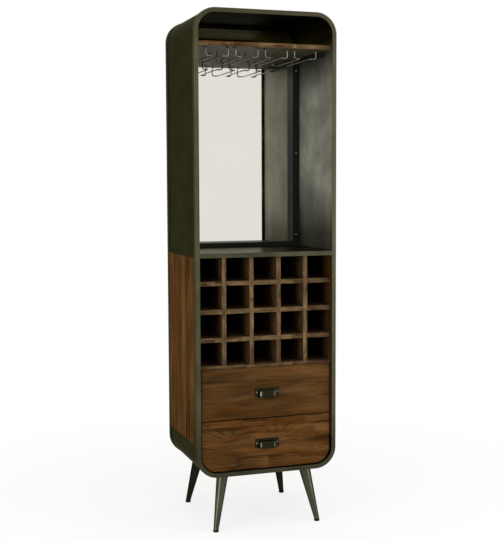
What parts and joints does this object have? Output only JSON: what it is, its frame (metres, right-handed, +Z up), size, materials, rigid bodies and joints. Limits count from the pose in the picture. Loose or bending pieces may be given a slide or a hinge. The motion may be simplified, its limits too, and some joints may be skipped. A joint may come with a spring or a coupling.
{
  "type": "wine cabinet",
  "caption": "Tall rounded steel-framed bar cabinet on splayed legs, with a mirrored niche, hanging stemware racks, a wooden bottle lattice and cup-pull drawers.",
  "frame": {"origin": "on the floor, under the middle of the cabinet's overall box", "axes": "+Z up, X across the cabinet to the right as seen from the front, the front with its drawers faces -Y"},
  "size_m": [0.6, 0.4626, 2.092],
  "materials": {
    "frame_steel": "satin gunmetal",
    "sheet_steel": "satin dark patina",
    "counter_steel": "satin brushed",
    "black_steel": "satin black",
    "rack_wire": "satin dark",
    "leg_steel": "satin gunmetal",
    "zinc_steel": "bright zinc",
    "pull_iron": "polished gunmetal",
    "mirror": "silvered glass",
    "walnut": "oiled",
    "panel_board": "dark stained",
    "drawer_wood": "clear lacquer",
    "cap_plastic": "matte black",
    "bearing_plastic": "matte white"
  },
  "bodies": {
    "cabinet": {"front_frame": "frame_steel", "rear_frame": "frame_steel", "top_cover": "sheet_steel", "bottom_tray": "sheet_steel", "side_panel_left": "walnut", "side_panel_right": "walnut", "counter_shelf": "counter_steel", "counter_core": "panel_board", "upper_back_panel": "panel_board", "lower_back_panel": "panel_board", "mirror_glass": "mirror", "mirror_stile_left": "black_steel", "mirror_stile_right": "black_steel", "mirror_rail": "black_steel", "stemware_shelf": "walnut", "shelf_cleats": "black_steel", "stem_rack_1": "rack_wire", "stem_rack_2": "rack_wire", "stem_rack_3": "rack_wire", "stem_rack_4": "rack_wire", "wine_base_board": "walnut", "wine_shelf_1": "walnut", "wine_shelf_2": "walnut", "wine_shelf_3": "walnut", "wine_divider_1": "walnut", "wine_divider_2": "walnut", "wine_divider_3": "walnut", "wine_divider_4": "walnut", "leg_front_left": "leg_steel", "leg_front_right": "leg_steel", "leg_rear_left": "leg_steel", "leg_rear_right": "leg_steel", "leg_plates": "leg_steel", "leg_bolts": "zinc_steel", "foot_caps": "cap_plastic", "upper_slide_cabinet_members": "zinc_steel", "lower_slide_cabinet_members": "zinc_steel"},
    "upper_drawer": {"upper_drawer_front": "walnut", "upper_drawer_side_left": "drawer_wood", "upper_drawer_side_right": "drawer_wood", "upper_drawer_back": "drawer_wood", "upper_drawer_bottom": "drawer_wood", "upper_pull": "pull_iron", "upper_pull_screws": "pull_iron", "upper_slide_drawer_members": "zinc_steel"},
    "upper_slide": {"upper_slide_middle_members": "zinc_steel", "upper_slide_bearings": "bearing_plastic"},
    "lower_drawer": {"lower_drawer_front": "walnut", "lower_drawer_side_left": "drawer_wood", "lower_drawer_side_right": "drawer_wood", "lower_drawer_back": "drawer_wood", "lower_drawer_bottom": "drawer_wood", "lower_pull": "pull_iron", "lower_pull_screws": "pull_iron", "lower_slide_drawer_members": "zinc_steel"},
    "lower_slide": {"lower_slide_middle_members": "zinc_steel", "lower_slide_bearings": "bearing_plastic"}
  },
  "joints": [
    {"name": "upper_drawer_travel", "type": "slide", "parent": "cabinet", "child": "upper_drawer", "axis": [0, -1, 0], "range_m": [0, 0.35]},
    {"name": "upper_slide_travel", "type": "slide", "parent": "cabinet", "child": "upper_slide", "axis": [0, -1, 0], "range_m": [0, 0.175]},
    {"name": "lower_drawer_travel", "type": "slide", "parent": "cabinet", "child": "lower_drawer", "axis": [0, -1, 0], "range_m": [0, 0.35]},
    {"name": "lower_slide_travel", "type": "slide", "parent": "cabinet", "child": "lower_slide", "axis": [0, -1, 0], "range_m": [0, 0.175]}
  ],
  "couplings": [
    {"joint": "upper_slide_travel", "follows": "upper_drawer_travel", "ratio": 0.5},
    {"joint": "lower_slide_travel", "follows": "lower_drawer_travel", "ratio": 0.5}
  ]
}
